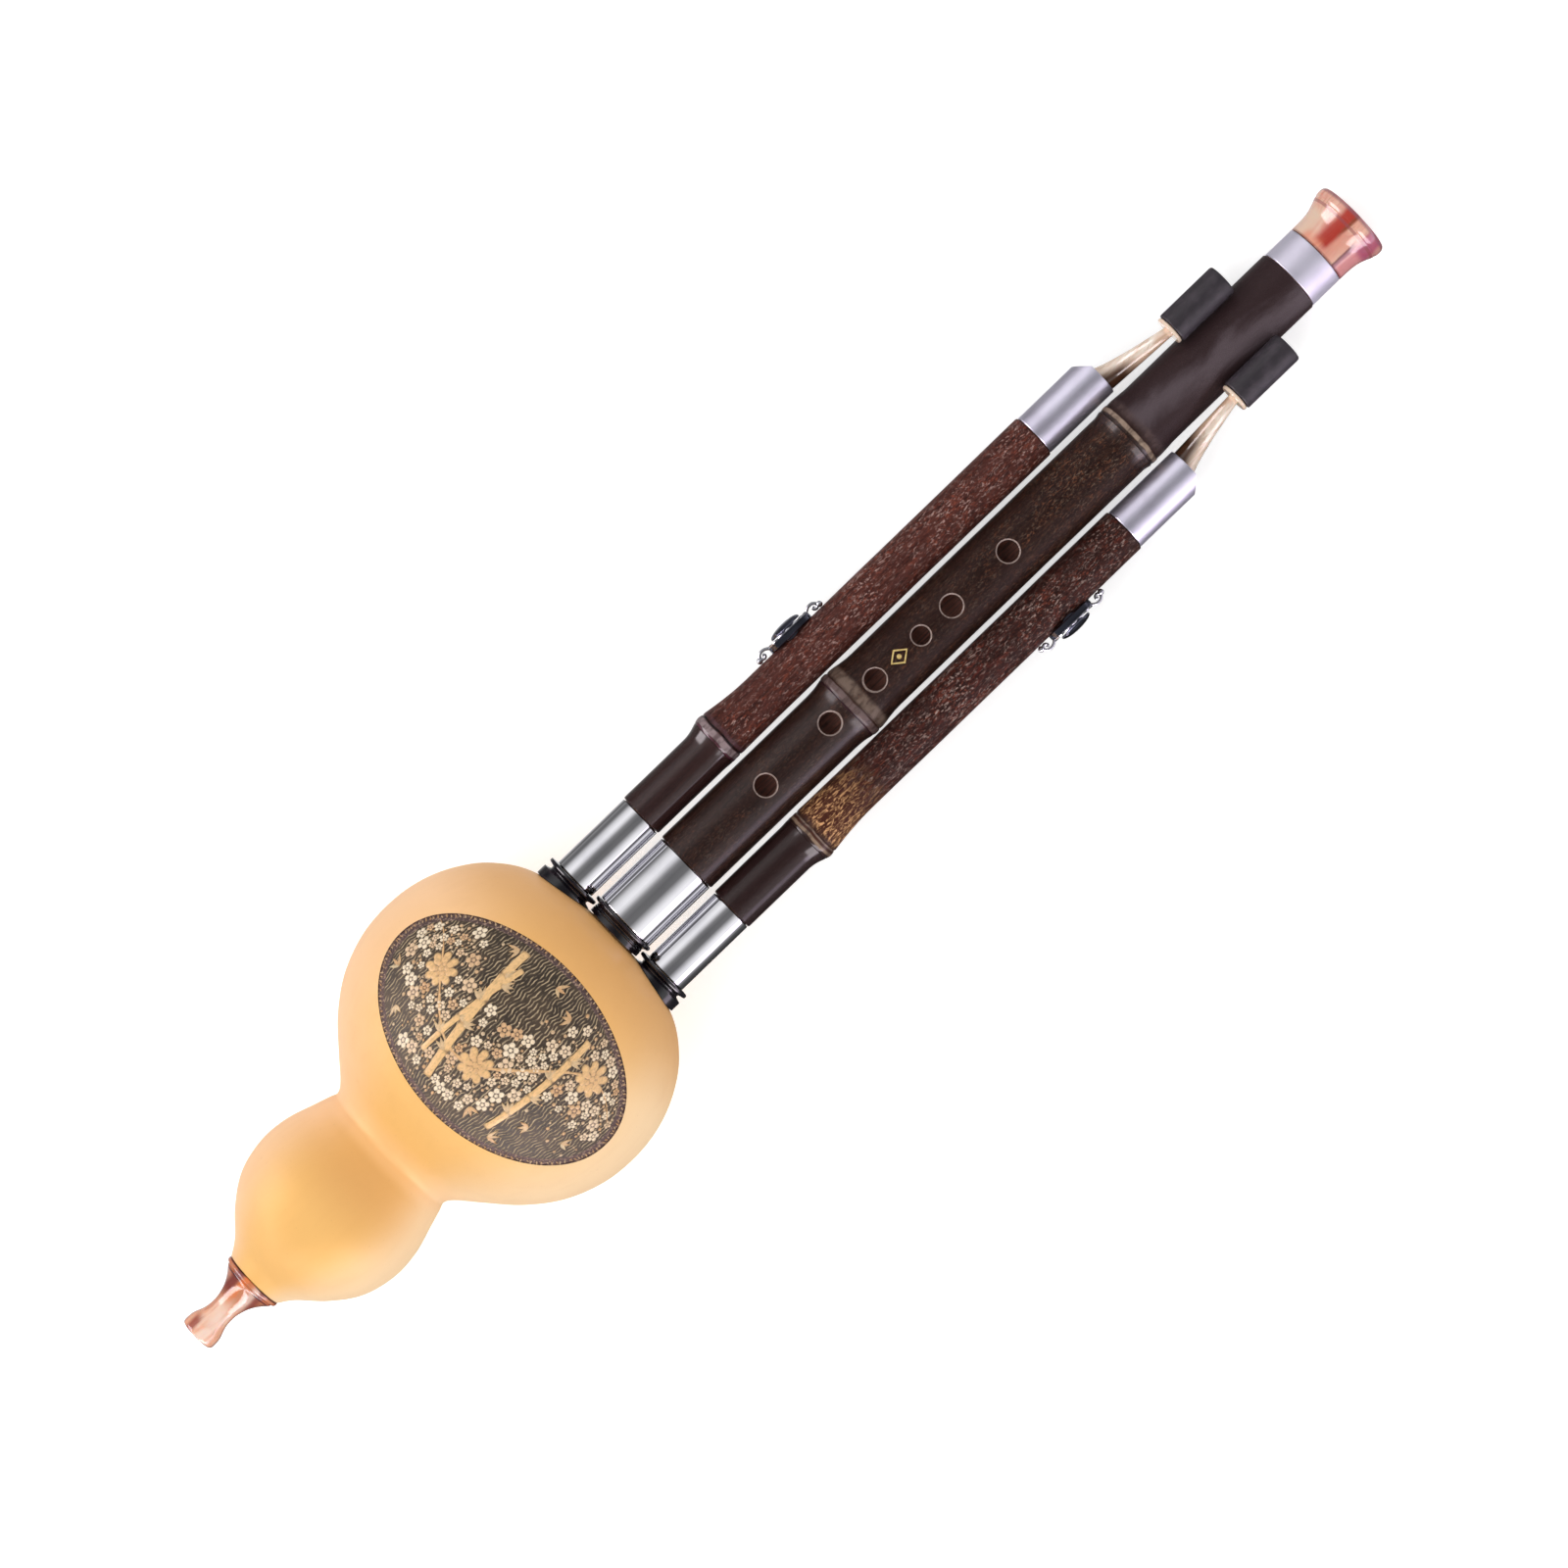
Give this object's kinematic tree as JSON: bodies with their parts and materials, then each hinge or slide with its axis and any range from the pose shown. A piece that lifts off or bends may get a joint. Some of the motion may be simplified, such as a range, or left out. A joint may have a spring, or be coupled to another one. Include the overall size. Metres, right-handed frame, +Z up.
{
  "type": "gourd free-reed pipe",
  "caption": "Gourd wind chamber with a fingered bamboo pipe between two capped drone pipes, a waisted mouthpiece and a flared bell.",
  "frame": {"origin": "on the table, under the middle of the whole instrument as it lies on its back", "axes": "+X from the mouthpiece towards the bell, +Z up on the side of the finger holes, +Y towards the drone whose rosette is nearer the gourd"},
  "size_m": [0.5388, 0.1196, 0.1183],
  "materials": {
    "gourd": "smooth varnished gourd with a burnt and engraved oval panel",
    "pink_resin": "polished marbled translucent resin",
    "pale_resin": "polished translucent resin",
    "cork": "pressed cork",
    "black_horn": "polished black",
    "black_rubber": "matt",
    "chrome": "polished",
    "satin_silver": "satin",
    "bamboo": "polished dark bamboo with brown mottling",
    "pale_wood": "plain",
    "brass": "satin"
  },
  "bodies": {
    "gourd": {"gourd_shell": "gourd", "mouthpiece": "pink_resin", "mouthpiece_cork": "cork", "main_socket_collar": "black_horn", "high_drone_socket_collar": "black_horn", "low_drone_socket_collar": "black_horn"},
    "main_seal": {"main_seal_ring": "cork"},
    "main_pipe": {"main_lower_ferrule": "chrome", "main_bamboo": "bamboo", "main_reed_stock": "pale_wood", "main_reed_plate": "brass", "main_tip_ring": "satin_silver", "main_bell": "pink_resin"},
    "main_reed": {"main_reed_tongue": "brass"},
    "high_drone_seal": {"high_drone_seal_ring": "cork"},
    "high_drone_pipe": {"high_drone_lower_ferrule": "chrome", "high_drone_bamboo": "bamboo", "high_drone_reed_stock": "pale_wood", "high_drone_reed_plate": "brass", "high_drone_upper_ferrule": "chrome", "high_drone_nozzle": "pale_resin", "high_drone_rosette": "satin_silver"},
    "high_drone_reed": {"high_drone_reed_tongue": "brass"},
    "low_drone_seal": {"low_drone_seal_ring": "cork"},
    "low_drone_pipe": {"low_drone_lower_ferrule": "chrome", "low_drone_bamboo": "bamboo", "low_drone_reed_stock": "pale_wood", "low_drone_reed_plate": "brass", "low_drone_upper_ferrule": "chrome", "low_drone_nozzle": "pale_resin", "low_drone_rosette": "satin_silver"},
    "low_drone_reed": {"low_drone_reed_tongue": "brass"},
    "high_drone_end_cap": {"high_drone_cap": "black_rubber"},
    "high_drone_tone_stopper": {"high_drone_stopper": "satin_silver"},
    "low_drone_end_cap": {"low_drone_cap": "black_rubber"},
    "low_drone_tone_stopper": {"low_drone_stopper": "satin_silver"}
  },
  "joints": [
    {"name": "main_pull", "type": "slide", "parent": "gourd", "child": "main_seal", "axis": [0.9935, 0, -0.114], "range_m": [0, 0.032]},
    {"name": "main_turn", "type": "hinge", "parent": "main_seal", "child": "main_pipe", "pos_m": [-0.07005, 0, 0.05285], "axis": [0.9935, 0, -0.114], "continuous": true},
    {"name": "main_reed_flex", "type": "hinge", "parent": "main_pipe", "child": "main_reed", "pos_m": [-0.09229, 0, 0.06175], "axis": [0, 1, 0], "range_deg": [-2, 2], "stiffness_Nm_per_rad": 0.003},
    {"name": "high_drone_pull", "type": "slide", "parent": "gourd", "child": "high_drone_seal", "axis": [0.9935, 0, -0.114], "range_m": [0, 0.032]},
    {"name": "high_drone_turn", "type": "hinge", "parent": "high_drone_seal", "child": "high_drone_pipe", "pos_m": [-0.07005, 0.0219, 0.05285], "axis": [0.9935, 0, -0.114], "range_deg": [-60, 0]},
    {"name": "high_drone_reed_flex", "type": "hinge", "parent": "high_drone_pipe", "child": "high_drone_reed", "pos_m": [-0.09619, 0.0219, 0.06058], "axis": [0, 1, 0], "range_deg": [-2, 2], "stiffness_Nm_per_rad": 0.003},
    {"name": "low_drone_pull", "type": "slide", "parent": "gourd", "child": "low_drone_seal", "axis": [0.9935, 0, -0.114], "range_m": [0, 0.032]},
    {"name": "low_drone_turn", "type": "hinge", "parent": "low_drone_seal", "child": "low_drone_pipe", "pos_m": [-0.07005, -0.0219, 0.05285], "axis": [0.9935, 0, -0.114], "range_deg": [0, 60]},
    {"name": "low_drone_reed_flex", "type": "hinge", "parent": "low_drone_pipe", "child": "low_drone_reed", "pos_m": [-0.09619, -0.0219, 0.06058], "axis": [0, 1, 0], "range_deg": [-2, 2], "stiffness_Nm_per_rad": 0.003},
    {"name": "high_drone_cap_pull", "type": "slide", "parent": "high_drone_pipe", "child": "high_drone_end_cap", "axis": [0.9935, 0, -0.114], "range_m": [0, 0.016]},
    {"name": "high_drone_stopper_pull", "type": "slide", "parent": "high_drone_pipe", "child": "high_drone_tone_stopper", "axis": [0, 1, 0], "range_m": [0, 0.012]},
    {"name": "low_drone_cap_pull", "type": "slide", "parent": "low_drone_pipe", "child": "low_drone_end_cap", "axis": [0.9935, 0, -0.114], "range_m": [0, 0.016]},
    {"name": "low_drone_stopper_pull", "type": "slide", "parent": "low_drone_pipe", "child": "low_drone_tone_stopper", "axis": [0, -1, 0], "range_m": [0, 0.012]}
  ]
}
